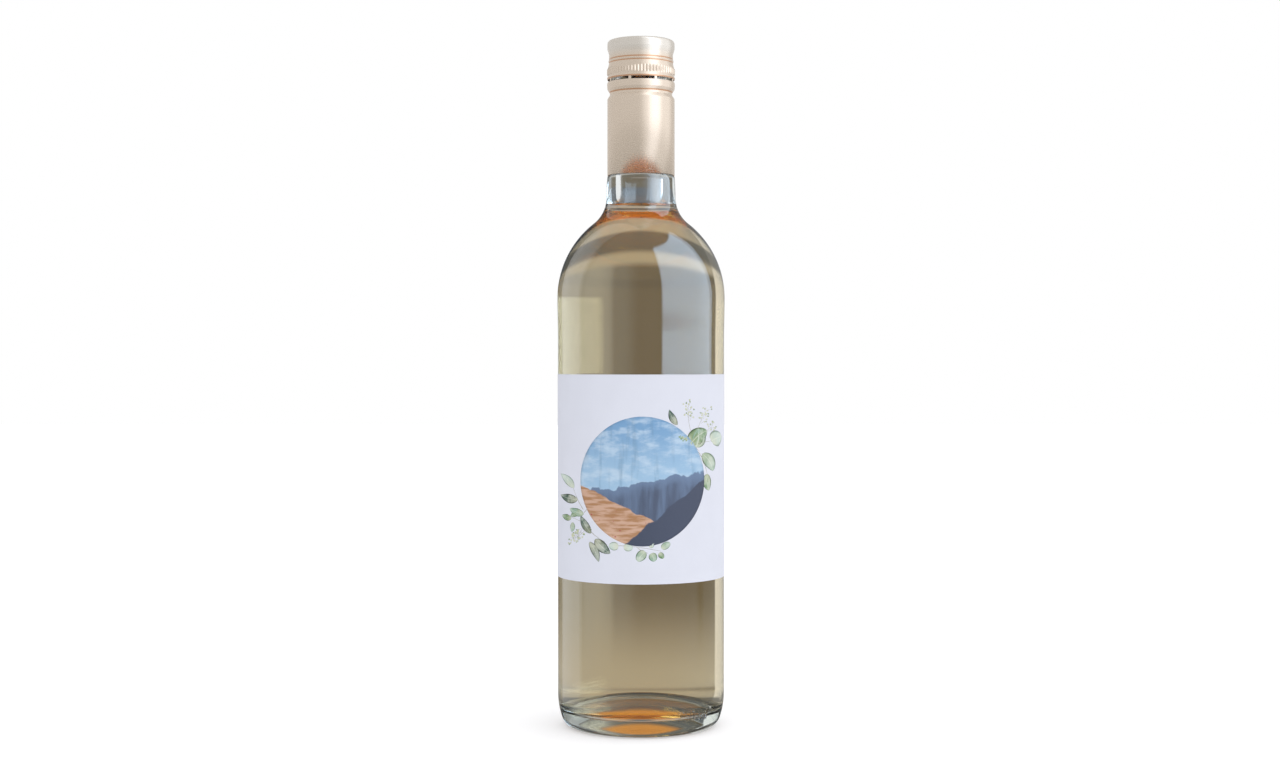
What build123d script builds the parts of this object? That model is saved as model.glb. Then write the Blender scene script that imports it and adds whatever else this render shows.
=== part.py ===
"""A 750 ml wine bottle: glass, wine, a rolled-on screw closure with a long skirt, and a paper label.

Millimetres, +Z up. The origin is on the bottle's axis, in the plane that its base stands on, and the label
faces -Y. Every outline below is drawn in the XZ plane, as (radius, height), and turned about Z.
"""

import os
from math import asin, atan2, cos, degrees, radians, sin, sqrt

from build123d import *

# Body of the glass
body_radius = 36.85         # outside of the label panel
body_height = 189.5         # from the base to the widest ring, where the shoulder starts
shoulder_swell = 0.3        # how far the widest ring stands out past the label panel
swell_height = 19.0         # height over which the panel runs out to the widest ring
wall = 2.65                 # side wall of the body and shoulder

# Shoulder and neck of the glass
shoulder_arc = 42.0         # outside radius of the shoulder
neck_fillet = 15.0          # outside radius where the shoulder sweeps into the neck
neck_length = 9.1           # bare neck between that sweep and the closure
neck_taper = 0.45           # how much the bare neck narrows on the way up
neck_ledge = 0.45           # step in under the closure's skirt
finish_radius = 14.45       # glass behind the skirt
mouth_step = 1.25           # how much slimmer the glass is behind the closure's cap
mouth_length = 25.5         # length of that slimmer glass
mouth_taper = 1.7           # height over which it narrows
lip_round = 0.8             # rounding of the lip
bore_radius = 9.4
bore_fillet = 22.0          # inside radius where the bore opens into the shoulder

# Foot of the glass
foot_round = 6.0            # outside radius between the standing ring and the heel
heel_lean = 20.0            # degrees from upright where that rounding meets the heel
heel_arc = 30.0             # outside radius of the heel above it
standing_ring = 1.8         # width of the flat ring that the bottle stands on
punt_height = 9.0           # rise of the hollow under the base
floor_thickness = 6.5       # glass over that hollow
floor_round = 5.0           # inside radius between floor and wall

# Wine
wine_level = 229.5          # height of the wine above the standing plane
fill_gap = 0.05             # clearance between wine and glass

# Closure: the depths are measured down from its top
closure_length = 60.0
closure_wall = 0.3
closure_gap = 0.2           # clearance between the skirt and the glass behind it
ledge_gap = 0.1             # clearance between the skirt's lower edge and the glass under it
crown_round = 2.6           # rounding round the top
crown_depth = 3.8           # depth at which the cap starts to draw in
waist_step = 0.75           # how much it draws in
waist_depths = (6.2, 8.5)
bead_depth = 9.3            # of the small bead below the waist
bead_step = 0.3             # how far that bead stands out from the waist
bead_spread = 0.8           # half the height of that bead
grip_depths = (12.6, 15.8)  # of the ribbed band
grip_taper = 0.4            # height over which the cap widens to that band
lip_bead_step = 0.15        # of the beads above and below the slots
lip_bead_spread = 0.7       # from a slot's edge to the bead's crest
slot_depth = 18.15          # of the middle of the slots
slot_height = 1.3
slot_count = 8
slot_bridge = 4.0           # degrees of metal left between two slots
slot_turn = 3.3             # degrees that the slots are turned from the front
groove_depth = 23.9         # of the middle of the groove that is rolled in below the slots
groove_step = 1.1
groove_spread = 2.2         # half the height of that groove at its edges
groove_floor = 0.5          # half the height of its floor
least_rounding = 0.15       # of any corner on the inside
rib_count = 64
rib_relief = 0.25
rib_width = 0.75

# Label
label_width = 120.0         # along the curve
label_height = 89.3
label_bottom = 66.5
label_thickness = 0.15
label_gap = 0.05            # clearance between the paper and the glass


# Places worked out from those sizes. A centre is (radius, height).
widest_radius = body_radius + shoulder_swell
shoulder_centre = (widest_radius - shoulder_arc, body_height)
ledge_radius = finish_radius + neck_ledge
neck_radius = ledge_radius + neck_taper
mouth_radius = finish_radius - mouth_step


def sweep_centre(arc, upright):
    """Centre of the circle that touches an arc about the shoulder's centre and an upright line, both from outside.

    `arc` is the arc's radius plus the circle's own, and `upright` is how far the circle's centre is from the axis.
    """
    return (upright, shoulder_centre[1] + sqrt(arc**2 - (upright - shoulder_centre[0]) ** 2))


neck_sweep = sweep_centre(shoulder_arc + neck_fillet, neck_radius + neck_fillet)
neck_top = neck_sweep[1] + neck_length
skirt_bottom = neck_top + neck_ledge + ledge_gap
closure_top = skirt_bottom + closure_length
lip_height = closure_top - closure_wall
mouth_bottom = lip_height - mouth_length

foot_lean = radians(heel_lean)
foot_centre = (
    body_radius - heel_arc * (1 - cos(foot_lean)) - foot_round * cos(foot_lean),
    foot_round,
)
heel_centre = (body_radius - heel_arc, foot_round + (heel_arc - foot_round) * sin(foot_lean))
punt_radius = foot_centre[0] - standing_ring
punt_arc = (punt_height**2 + punt_radius**2) / (2 * punt_height)
punt_centre = (0, punt_height - punt_arc)


def heading(start, end):
    """Direction from one place to another, in degrees from the outward radius."""
    return degrees(atan2(end[1] - start[1], end[0] - start[0]))


def arc_about(centre, radius, start, end):
    """Arc about a centre from one heading to another."""
    return CenterArc(centre, radius, start, end - start)


def swell_line(radius):
    """Smooth line from the label panel out to the widest ring, for a panel of this radius."""
    start = (radius, body_height - swell_height)
    end = (radius + shoulder_swell, body_height)
    return Spline(start, end, tangents=[(0, 1), (0, 1)])


def outside_lines():
    """Outside of the glass, from the top of the punt out to the standing ring and up to the lip."""
    arc_about(punt_centre, punt_arc, 90, 90 - degrees(asin(punt_radius / punt_arc)))
    Line((punt_radius, 0), (foot_centre[0], 0))
    arc_about(foot_centre, foot_round, -90, -heel_lean)
    arc_about(heel_centre, heel_arc, -heel_lean, 0)
    Line((body_radius, heel_centre[1]), (body_radius, body_height - swell_height))
    swell_line(body_radius)
    sweep = heading(shoulder_centre, neck_sweep)
    arc_about(shoulder_centre, shoulder_arc, 0, sweep)
    arc_about(neck_sweep, neck_fillet, 180 + sweep, 180)
    TangentArc((neck_radius, neck_sweep[1]), (ledge_radius, neck_top), tangent=(0, 1))
    Polyline(
        (ledge_radius, neck_top),
        (finish_radius, neck_top + neck_ledge),
        (finish_radius, mouth_bottom - mouth_taper),
        (mouth_radius, mouth_bottom),
        (mouth_radius, lip_height),
    )


def inside_lines(inset):
    """Inside of the glass moved in by `inset`, from the top of the floor out to the wall and up to the lip."""
    floor_arc = punt_arc + floor_thickness + inset
    side = body_radius - wall - inset
    round_radius = floor_round - inset
    round_centre_radius = side - round_radius
    rise = sqrt((floor_arc + round_radius) ** 2 - round_centre_radius**2)
    round_centre = (round_centre_radius, punt_centre[1] + rise)
    floor_edge = heading(punt_centre, round_centre)
    arc_about(punt_centre, floor_arc, 90, floor_edge)
    arc_about(round_centre, round_radius, floor_edge - 180, 0)
    Line((side, round_centre[1]), (side, body_height - swell_height))
    swell_line(side)
    arc = shoulder_arc - wall - inset
    bore = bore_radius - inset
    fillet_radius = bore_fillet + inset
    sweep_end = sweep_centre(arc + fillet_radius, bore + fillet_radius)
    sweep = heading(shoulder_centre, sweep_end)
    arc_about(shoulder_centre, arc, 0, sweep)
    arc_about(sweep_end, fillet_radius, 180 + sweep, 180)
    Line((bore, sweep_end[1]), (bore, lip_height))


# Glass
with BuildPart() as glass:
    with BuildSketch(Plane.XZ) as glass_section:
        with BuildLine():
            outside_lines()
            Line((mouth_radius, lip_height), (bore_radius, lip_height))
            inside_lines(0)
            Line((0, punt_height + floor_thickness), (0, punt_height))
        make_face()
        fillet(glass_section.vertices().group_by(Axis.Y)[-1], lip_round)
    revolve(axis=Axis.Z)
glass.part.label = "glass"

# Wine, up to its level
with BuildPart() as wine:
    with BuildSketch(Plane.XZ):
        with BuildLine():
            inside_lines(fill_gap)
            Polyline(
                (bore_radius - fill_gap, lip_height),
                (0, lip_height),
                (0, punt_height + floor_thickness + fill_gap),
            )
        make_face()
    revolve(axis=Axis.Z)
    split(bisect_by=Plane.XY.offset(wine_level), keep=Keep.BOTTOM)
wine.part.label = "wine"


# Closure: a thin metal shell whose inside follows its outside
skirt_radius = finish_radius + closure_gap + closure_wall
waist_radius = skirt_radius - waist_step
bead_radius = skirt_radius + lip_bead_step
slot_edges = (slot_depth - slot_height / 2, slot_depth + slot_height / 2)
closure_rings = [  # depth, radius and rounding of each corner of its outside
    (0, skirt_radius, crown_round),
    (crown_depth, skirt_radius, 1.0),
    (waist_depths[0], waist_radius, 1.0),
    (waist_depths[1], waist_radius, 0.2),
    (bead_depth, waist_radius + bead_step, 0.25),
    (bead_depth + bead_spread, waist_radius, 0.3),
    (grip_depths[0] - grip_taper, skirt_radius - rib_relief, 0.4),
    (grip_depths[1], skirt_radius - rib_relief, 0.2),
    (slot_edges[0] - lip_bead_spread, bead_radius, 0.3),
    (slot_edges[0], skirt_radius, 0.2),
    (slot_edges[1], skirt_radius, 0.2),
    (slot_edges[1] + lip_bead_spread, bead_radius, 0.3),
    (groove_depth - groove_spread, skirt_radius, 0.6),
    (groove_depth - groove_floor, skirt_radius - groove_step, 0.5),
    (groove_depth + groove_floor, skirt_radius - groove_step, 0.5),
    (groove_depth + groove_spread, skirt_radius, 0.6),
]


def closure_line(inset):
    """Outside of the closure moved in by `inset`, from the middle of its top to the skirt's lower edge."""
    corners = [(radius - inset, closure_top - max(depth, inset)) for depth, radius, _ in closure_rings]
    roundings = [max(rounding - inset, least_rounding) for _, _, rounding in closure_rings]
    points = [(0, closure_top - inset), *corners, (skirt_radius - inset, skirt_bottom)]
    return FilletPolyline(*points, radius=roundings)


with BuildPart() as closure:
    with BuildSketch(Plane.XZ):
        with BuildLine():
            outer_line = closure_line(0)
            inner_line = closure_line(closure_wall)
            Line(outer_line @ 0, inner_line @ 0)
            Line(outer_line @ 1, inner_line @ 1)
        make_face()
    revolve(axis=Axis.Z)
    with BuildSketch(Plane.XY.offset(closure_top - grip_depths[1])):
        with PolarLocations(skirt_radius - rib_relief, rib_count):
            Rectangle(2 * rib_relief, rib_width)
    extrude(amount=grip_depths[1] - grip_depths[0])
    slot_arc = 360 / slot_count - slot_bridge
    for slot in range(slot_count):
        start = slot_turn - 90 + slot * 360 / slot_count - slot_arc / 2
        with BuildSketch(Plane.XZ.rotated((0, 0, start))):
            with Locations((skirt_radius, closure_top - slot_depth)):
                Rectangle(4 * closure_wall, slot_height)
        revolve(axis=Axis.Z, revolution_arc=slot_arc, mode=Mode.SUBTRACT)
closure.part.label = "closure"

# Label, wrapped round the front of the body
with BuildPart() as label:
    with BuildSketch(Plane.XY.offset(label_bottom)):
        inner_radius = body_radius + label_gap
        outer_radius = inner_radius + label_thickness
        half_wrap = degrees(label_width / outer_radius) / 2
        with BuildLine():
            inner_edge = CenterArc((0, 0), inner_radius, -90 - half_wrap, 2 * half_wrap)
            outer_edge = CenterArc((0, 0), outer_radius, -90 - half_wrap, 2 * half_wrap)
            Line(inner_edge @ 0, outer_edge @ 0)
            Line(inner_edge @ 1, outer_edge @ 1)
        make_face()
    extrude(amount=label_height)
label.part.label = "label"

os.makedirs("parts", exist_ok=True)
export_step(glass.part, "parts/glass.step")
export_step(wine.part, "parts/wine.step")
export_step(closure.part, "parts/closure.step")
export_step(label.part, "parts/label.step")
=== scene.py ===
"""Looks of a bottle of white wine: glass, wine, a screw closure, a paper label with its print, and a studio.

Metres, +Z up. The origin is on the bottle's axis, in the plane that its base stands on; the label faces -Y.
Profiles are arrays of (radius, height) that are turned about Z.
"""

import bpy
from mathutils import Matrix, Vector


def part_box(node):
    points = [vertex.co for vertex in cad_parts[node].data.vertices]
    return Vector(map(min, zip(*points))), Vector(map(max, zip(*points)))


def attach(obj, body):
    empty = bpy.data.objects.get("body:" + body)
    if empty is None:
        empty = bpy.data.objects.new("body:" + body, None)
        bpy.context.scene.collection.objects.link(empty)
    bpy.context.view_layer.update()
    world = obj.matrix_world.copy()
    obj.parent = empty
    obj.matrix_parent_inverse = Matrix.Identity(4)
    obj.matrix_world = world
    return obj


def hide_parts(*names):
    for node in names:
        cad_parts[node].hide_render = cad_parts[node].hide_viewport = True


bl_info = {
    "name": "White Wine Bottle",
    "version": (1, 0, 0),
    "blender": (4, 5, 0),
    "location": "View3D > Sidebar > Bottle",
    "description": "Builds the glass, wine, closure, printed label and studio of a bottle of white wine",
    "category": "Add Mesh",
}

from math import asin, atan2, cos, degrees, pi, radians, sin, sqrt

import bmesh
import bpy
import numpy as np
from bpy.props import FloatProperty, FloatVectorProperty, IntProperty, PointerProperty

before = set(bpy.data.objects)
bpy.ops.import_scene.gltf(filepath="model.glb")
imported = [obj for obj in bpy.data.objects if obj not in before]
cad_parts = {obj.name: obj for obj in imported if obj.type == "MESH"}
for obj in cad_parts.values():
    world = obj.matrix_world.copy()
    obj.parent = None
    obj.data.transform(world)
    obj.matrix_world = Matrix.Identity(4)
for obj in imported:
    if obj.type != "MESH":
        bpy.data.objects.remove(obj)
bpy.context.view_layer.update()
GLASS_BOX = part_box("glass")
WINE_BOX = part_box("wine")
CLOSURE_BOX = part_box("closure")
LABEL_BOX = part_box("label")
BODY = "root"
MM = 0.001

# Depths under the closure's top. The first are the warm lines painted at its grooves, a painted reflection of
# the metal in its own grooves.
GROOVE_REFLECTION_DEPTHS = tuple(np.array(((8.3, 8.9), (9.8, 10.3), (16.9, 17.5), (22.9, 23.5))) * MM)
SLOT_DEPTHS = (17.5 * MM, 18.8 * MM)
RIB_DEPTHS = (12.4 * MM, 15.7 * MM)

# Directions in the studio, in degrees: azimuth from straight behind the bottle, positive to the right.
WHITE_STRIP = (-86, -39.5)
GREY_PANEL = (9.5, 84)
SOFTBOX = (66, 150)
SOFTBOX_RISE = (-1.5, 62)

CAMERA_PLACE = (0, -0.826, 0.1607)
CAMERA_LENS = 52.2
CAMERA_SHIFT = (-1 / 1280, -23 / 1280)
FLOOR_HALF = 4.0


# ---------------------------------------------------------------- sizes and colours


def length(name, value, description):
    """A length property, given in millimetres."""
    return FloatProperty(name=name, description=description, default=value * MM, unit="LENGTH", precision=5)


def angle(name, value, description):
    """An angle property, given in degrees."""
    return FloatProperty(name=name, description=description, default=radians(value), subtype="ANGLE")


def linear(red, green, blue):
    """Linear colour of a screen colour out of 255: the usual power curve with its straight foot."""
    channels = np.array((red, green, blue)) / 255
    curve = np.where(channels <= 0.04045, channels / 12.92, ((channels + 0.055) / 1.055) ** 2.4)
    return tuple(float(channel) for channel in curve)


def colour(name, screen, description):
    """A colour property, given as a screen colour."""
    return FloatVectorProperty(
        name=name, description=description, default=linear(*screen), subtype="COLOR", size=3, min=0, max=1
    )


class BottleSizes(bpy.types.PropertyGroup):
    """Sizes of the bottle that its outlines are worked out from."""

    wall: length("Wall", 2.65, "Side wall of the body and shoulder")
    swell: length("Swell", 0.3, "How far the widest ring stands out past the label panel")
    swell_height: length("Swell Height", 19.0, "Height over which the panel runs out to the widest ring")
    body_height: length("Body Height", 189.5, "From the base to the widest ring")
    shoulder_arc: length("Shoulder Arc", 42.0, "Outside radius of the shoulder")
    neck_fillet: length("Neck Fillet", 15.0, "Outside radius where the shoulder sweeps into the neck")
    neck_taper: length("Neck Taper", 0.45, "How much the bare neck narrows on the way up")
    ledge: length("Ledge", 0.45, "Step in under the closure's skirt")
    ledge_gap: length("Ledge Gap", 0.1, "Clearance between that step and the skirt")
    finish_radius: length("Finish Radius", 14.45, "Glass behind the skirt")
    mouth_radius: length("Mouth Radius", 13.2, "Glass behind the cap")
    mouth_length: length("Mouth Length", 25.5, "Length of the glass behind the cap")
    mouth_taper: length("Mouth Taper", 1.7, "Height over which the glass narrows to it")
    lip_round: length("Lip Round", 0.8, "Rounding of the lip")
    bore: length("Bore", 9.4, "Inside radius of the neck")
    bore_fillet: length("Bore Fillet", 22.0, "Inside radius where the bore opens into the shoulder")
    foot_round: length("Foot Round", 6.0, "Outside radius at the foot")
    heel_arc: length("Heel Arc", 30.0, "Outside radius of the heel")
    heel_lean: angle("Heel Lean", 20.0, "Slope where the foot's rounding meets the heel")
    standing_ring: length("Standing Ring", 1.8, "Width of the ring that the bottle stands on")
    punt_height: length("Punt Height", 9.0, "Rise of the hollow under the base")
    floor: length("Floor", 6.5, "Glass over that hollow")
    floor_round: length("Floor Round", 5.0, "Inside radius between floor and wall")
    wine_reach: length("Wine Reach", 0.08, "How far the wine reaches into the wall")
    meniscus: length("Meniscus", 0.9, "Height of the wine's curved edge")
    closure_wall: length("Closure Wall", 0.3, "Thickness of the closure's metal")
    rib_relief: length("Rib Relief", 0.4, "Height of the closure's ribs")
    rib_count: IntProperty(name="Ribs", description="Ribs round the closure", default=64, min=8)
    slot_count: IntProperty(name="Slots", description="Slots round the closure", default=8, min=2)
    slot_bridge: angle("Slot Bridge", 4.0, "Metal left between two slots")
    slot_turn: angle("Slot Turn", 3.3, "How far the slots are turned from the front")
    picture_radius: length("Picture Radius", 26.7, "Half the width of the round picture, seen from the front")
    ink: length("Ink", 0.03, "Thickness of a printed layer")
    mark_height: length("Mark Height", 4.3, "Height of the figures moulded on the heel")


class BottleColours(bpy.types.PropertyGroup):
    """Colours of the bottle's finishes."""

    glass: colour("Glass", (205, 222, 212), "What a thick piece of the glass lets through")
    wine: colour("Wine", (248, 233, 192), "What a thick layer of the wine lets through")
    closure: colour("Closure", (226, 214, 200), "Champagne lacquer of the closure")
    # Painted highlight: the closure's crown painted paler, where the light falls on its top.
    closure_crown_highlight: colour("Closure Top", (226, 224, 219), "Paler lacquer on the closure's crown")
    # Painted reflection: warm lines painted at the closure's grooves, where its metal would reflect itself.
    groove_reflection: colour("Groove Reflection", (190, 132, 84), "Warm lines where the lacquer gathers in the closure's grooves")
    paper: colour("Paper", (219, 222, 233), "Label paper")
    sky: colour("Sky", (104, 152, 196), "Sky of the round picture")
    cloud: colour("Cloud", (150, 186, 216), "Its clouds")
    slate: colour("Slate", (92, 116, 150), "Its far hills")
    navy: colour("Navy", (34, 48, 78), "Its near hill")
    tan: colour("Tan", (200, 160, 134), "Its sunlit field")
    ochre: colour("Ochre", (166, 116, 66), "Furrows in that field")
    red: colour("Red", (170, 52, 60), "Its flowers")


# ---------------------------------------------------------------- outlines


def straight(start, end, count=2):
    """Points along a straight line, evenly spaced."""
    return np.linspace(start, end, count)


def arc(centre, radius, start, end, count=24):
    """Points about a centre: centre plus radius times the cosine and sine of a heading in degrees."""
    heading = np.radians(np.linspace(start, end, count))
    return np.column_stack((centre[0] + radius * np.cos(heading), centre[1] + radius * np.sin(heading)))


def swell(radius, sizes, count=14):
    """Smooth step outwards by sizes.swell: three times the share squared less twice its cube."""
    share = np.linspace(0, 1, count)
    height = sizes.body_height - sizes.swell_height * (1 - share)
    return np.column_stack((radius + sizes.swell * share**2 * (3 - 2 * share), height))


def chain(*runs):
    """Joins runs of points and drops a point that repeats the one before it."""
    points = np.vstack(runs)
    apart = np.linalg.norm(np.diff(points, axis=0), axis=1) > 1e-7
    return points[np.concatenate(([True], apart))]


def rounded(corners, steps=5):
    """Polyline whose corners are arcs: each corner is (radius, height, rounding), and the ends stay sharp."""
    points = np.array([corner[:2] for corner in corners])
    runs = [points[:1]]
    for before, corner, after, rounding in zip(points, points[1:], points[2:], [c[2] for c in corners[1:-1]]):
        back, ahead = before - corner, after - corner
        back_length, ahead_length = np.linalg.norm(back), np.linalg.norm(ahead)
        back, ahead = back / back_length, ahead / ahead_length
        half = np.arccos(np.clip(back @ ahead, -1, 1)) / 2
        reach = min(rounding / np.tan(half), 0.49 * back_length, 0.49 * ahead_length)
        share = np.linspace(0, 1, steps)[:, None]
        start, end = corner + back * reach, corner + ahead * reach
        runs.append((1 - share) ** 2 * start + 2 * share * (1 - share) * corner + share**2 * end)
    runs.append(points[-1:])
    return chain(*runs)


class Outline:
    """Places that the glass's outlines share, worked out as the solid's are."""

    def __init__(self, sizes):
        self.sizes = sizes
        widest = GLASS_BOX[1].x
        self.panel = widest - sizes.swell
        self.shoulder = (widest - sizes.shoulder_arc, sizes.body_height)
        self.ledge = sizes.finish_radius + sizes.ledge
        self.neck = self.ledge + sizes.neck_taper
        self.neck_sweep = self.sweep(sizes.shoulder_arc + sizes.neck_fillet, self.neck + sizes.neck_fillet)
        self.neck_top = CLOSURE_BOX[0].z - sizes.ledge_gap - sizes.ledge
        self.lip = GLASS_BOX[1].z
        lean = sizes.heel_lean
        foot = self.panel - sizes.heel_arc * (1 - cos(lean)) - sizes.foot_round * cos(lean)
        self.foot = (foot, sizes.foot_round)
        heel_height = sizes.foot_round + (sizes.heel_arc - sizes.foot_round) * sin(lean)
        self.heel = (self.panel - sizes.heel_arc, heel_height)
        self.punt_radius = foot - sizes.standing_ring
        self.punt_arc = (sizes.punt_height**2 + self.punt_radius**2) / (2 * sizes.punt_height)
        self.punt = (0, sizes.punt_height - self.punt_arc)

    def sweep(self, reach, upright):
        """Centre at a given distance from the shoulder's centre and from the axis."""
        return (upright, self.shoulder[1] + sqrt(reach**2 - (upright - self.shoulder[0]) ** 2))

    def heading(self, centre):
        """Direction from the shoulder's centre, in degrees from the outward radius."""
        return degrees(atan2(centre[1] - self.shoulder[1], centre[0] - self.shoulder[0]))

    def foot_side(self):
        """From the standing ring up round the foot and the heel to the body."""
        lean = degrees(self.sizes.heel_lean)
        return chain(
            arc(self.foot, self.sizes.foot_round, -90, -lean, 20),
            arc(self.heel, self.sizes.heel_arc, -lean, 0, 16),
        )

    def outside(self):
        """From the top of the punt out to the standing ring, up the body and over the shoulder to the lip."""
        sizes = self.sizes
        ring_turn = degrees(asin(self.punt_radius / self.punt_arc))
        punt = arc(self.punt, self.punt_arc, 90, 90 - ring_turn, 28)
        ring = rounded([(*punt[-2], 0), (*punt[-1], 0.5 * MM), (self.foot[0], 0, 0)], 6)
        sweep_turn = self.heading(self.neck_sweep)
        neck_share = np.linspace(0, 1, 6)
        neck_rise = self.neck_top - self.neck_sweep[1]
        neck = np.column_stack(
            (self.neck - sizes.neck_taper * neck_share**2, self.neck_sweep[1] + neck_rise * neck_share)
        )
        mouth_bottom = self.lip - sizes.mouth_length
        mouth = rounded(
            [
                (*neck[-1], 0),
                (sizes.finish_radius, self.neck_top + sizes.ledge, 0.1 * MM),
                (sizes.finish_radius, mouth_bottom - sizes.mouth_taper, 0.5 * MM),
                (sizes.mouth_radius, mouth_bottom, 0.5 * MM),
                (sizes.mouth_radius, self.lip, sizes.lip_round),
                (sizes.bore, self.lip, 0),
            ]
        )
        return chain(
            punt[:-2],
            ring,
            self.foot_side(),
            straight(
                (self.panel, self.heel[1]), (self.panel, sizes.body_height - sizes.swell_height), 10
            ),
            swell(self.panel, sizes),
            arc(self.shoulder, sizes.shoulder_arc, 0, sweep_turn, 40),
            arc(self.neck_sweep, sizes.neck_fillet, 180 + sweep_turn, 180, 28),
            neck,
            mouth[:-1],
        )

    def inside(self, inset=0.0):
        """From the top of the floor out to the wall, up the body and through the bore to the lip."""
        sizes = self.sizes
        floor_arc = self.punt_arc + sizes.floor + inset
        side = self.panel - sizes.wall - inset
        rounding = sizes.floor_round - inset
        corner_radius = side - rounding
        corner = (corner_radius, self.punt[1] + sqrt((floor_arc + rounding) ** 2 - corner_radius**2))
        floor_turn = degrees(atan2(corner[1] - self.punt[1], corner[0]))
        shoulder_arc = sizes.shoulder_arc - sizes.wall - inset
        bore, fillet = sizes.bore - inset, sizes.bore_fillet + inset
        bore_sweep = self.sweep(shoulder_arc + fillet, bore + fillet)
        sweep_turn = self.heading(bore_sweep)
        return chain(
            arc(self.punt, floor_arc, 90, floor_turn, 30),
            arc(corner, rounding, floor_turn - 180, 0, 20),
            straight((side, corner[1]), (side, sizes.body_height - sizes.swell_height), 10),
            swell(side, sizes),
            arc(self.shoulder, shoulder_arc, 0, sweep_turn, 40),
            arc(bore_sweep, fillet, 180 + sweep_turn, 180, 36),
            straight((bore, bore_sweep[1]), (bore, self.lip - sizes.lip_round), 4),
        )


# ---------------------------------------------------------------- surfaces


def grid_faces(rows, columns, closed=True):
    """Quads of a grid numbered row times columns plus column; a closed grid joins its last column."""
    row, column = np.meshgrid(
        np.arange(rows - 1), np.arange(columns if closed else columns - 1), indexing="ij"
    )
    following = (column + 1) % columns
    here, above = row * columns, (row + 1) * columns
    return np.stack((here + column, here + following, above + following, above + column), axis=-1)


def fan_faces(pole, ring, columns, upward):
    """Triangles from one vertex to a ring that starts at vertex number `ring`."""
    column = np.arange(columns)
    following = (column + 1) % columns
    pole = np.full(columns, pole)
    order = (ring + column, ring + following, pole) if upward else (ring + following, ring + column, pole)
    return np.stack(order, axis=-1)


def make_mesh(name, vertices, *face_sets):
    """Mesh object from a vertex array and arrays of faces, each with its own number of corners."""
    mesh = bpy.data.meshes.new(name)
    corners = np.concatenate([faces.ravel() for faces in face_sets]).astype(np.int32)
    counts = np.concatenate([np.full(len(faces), faces.shape[1]) for faces in face_sets]).astype(np.int32)
    mesh.vertices.add(len(vertices))
    mesh.vertices.foreach_set("co", np.ascontiguousarray(vertices, dtype=np.float32).ravel())
    mesh.loops.add(len(corners))
    mesh.loops.foreach_set("vertex_index", corners)
    mesh.polygons.add(len(counts))
    mesh.polygons.foreach_set("loop_start", (np.cumsum(counts) - counts).astype(np.int32))
    mesh.update(calc_edges=True)
    mesh.validate()
    mesh.polygons.foreach_set("use_smooth", np.ones(len(mesh.polygons), dtype=bool))
    piece = bpy.data.objects.new(name, mesh)
    bpy.context.scene.collection.objects.link(piece)
    return piece


def face_outwards(mesh, merge_distance=None):
    """Merges points that lie together, where a distance is given, and turns every face outwards."""
    model = bmesh.new()
    model.from_mesh(mesh)
    if merge_distance is not None:
        bmesh.ops.remove_doubles(model, verts=model.verts, dist=merge_distance)
    bmesh.ops.recalc_face_normals(model, faces=model.faces)
    model.to_mesh(mesh)
    model.free()


def turned(profile, steps):
    """Points of a profile turned about Z, rows by steps: x is r cos(a), y is r sin(a) and z is the height."""
    turn = np.linspace(0, 2 * pi, steps, endpoint=False)
    radius, height = profile[:, :1], profile[:, 1:]
    height = np.broadcast_to(height, (len(profile), steps))
    return np.stack((radius * np.cos(turn), radius * np.sin(turn), height), axis=-1)


def revolve(name, profile, steps=256):
    """Closed solid of revolution of a profile that starts and ends on the axis and runs anticlockwise."""
    rings = turned(profile[1:-1], steps)
    ends = np.array([(0, 0, profile[0, 1]), (0, 0, profile[-1, 1])])
    vertices = np.vstack((rings.reshape(-1, 3), ends))
    rows = len(rings)
    bottom = fan_faces(rows * steps, 0, steps, upward=False)
    top = fan_faces(rows * steps + 1, (rows - 1) * steps, steps, upward=True)
    return make_mesh(name, vertices, grid_faces(rows, steps).reshape(-1, 4), bottom, top)


def finish_piece(piece, material, slot, *nodes):
    """Gives a piece its material, puts it on the body and hides the CAD nodes it stands for."""
    piece.data.materials.append(material)
    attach(piece, BODY)
    if nodes:
        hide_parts(*nodes)
    return piece


# ---------------------------------------------------------------- shader maths


class Value:
    """A shader socket on which arithmetic adds Math nodes."""

    def __init__(self, shader, socket):
        self.shader = shader
        self.socket = socket

    def math(self, operation, *others):
        return self.shader.node("ShaderNodeMath", {"operation": operation}, dict(enumerate((self, *others))))

    def __add__(self, other):
        return self.math("ADD", other)

    def __sub__(self, other):
        return self.math("SUBTRACT", other)

    def __mul__(self, other):
        return self.math("MULTIPLY", other)

    def __rsub__(self, other):
        return self.shader.node("ShaderNodeMath", {"operation": "SUBTRACT"}, {0: other, 1: self})

    def __abs__(self):
        return self.math("ABSOLUTE")

    __radd__ = __add__
    __rmul__ = __mul__

    def step(self, start, end, low=0.0, high=1.0):
        """Smooth step from `low` at `start` to `high` at `end`."""
        inputs = {"Value": self, "From Min": start, "From Max": end, "To Min": low, "To Max": high}
        return self.shader.node("ShaderNodeMapRange", {"interpolation_type": "SMOOTHSTEP"}, inputs)

    def within(self, low, high, soft):
        """One between `low` and `high`, zero outside them, with soft edges of that width."""
        return self.step(low - soft / 2, low + soft / 2) * self.step(high + soft / 2, high - soft / 2)


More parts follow.
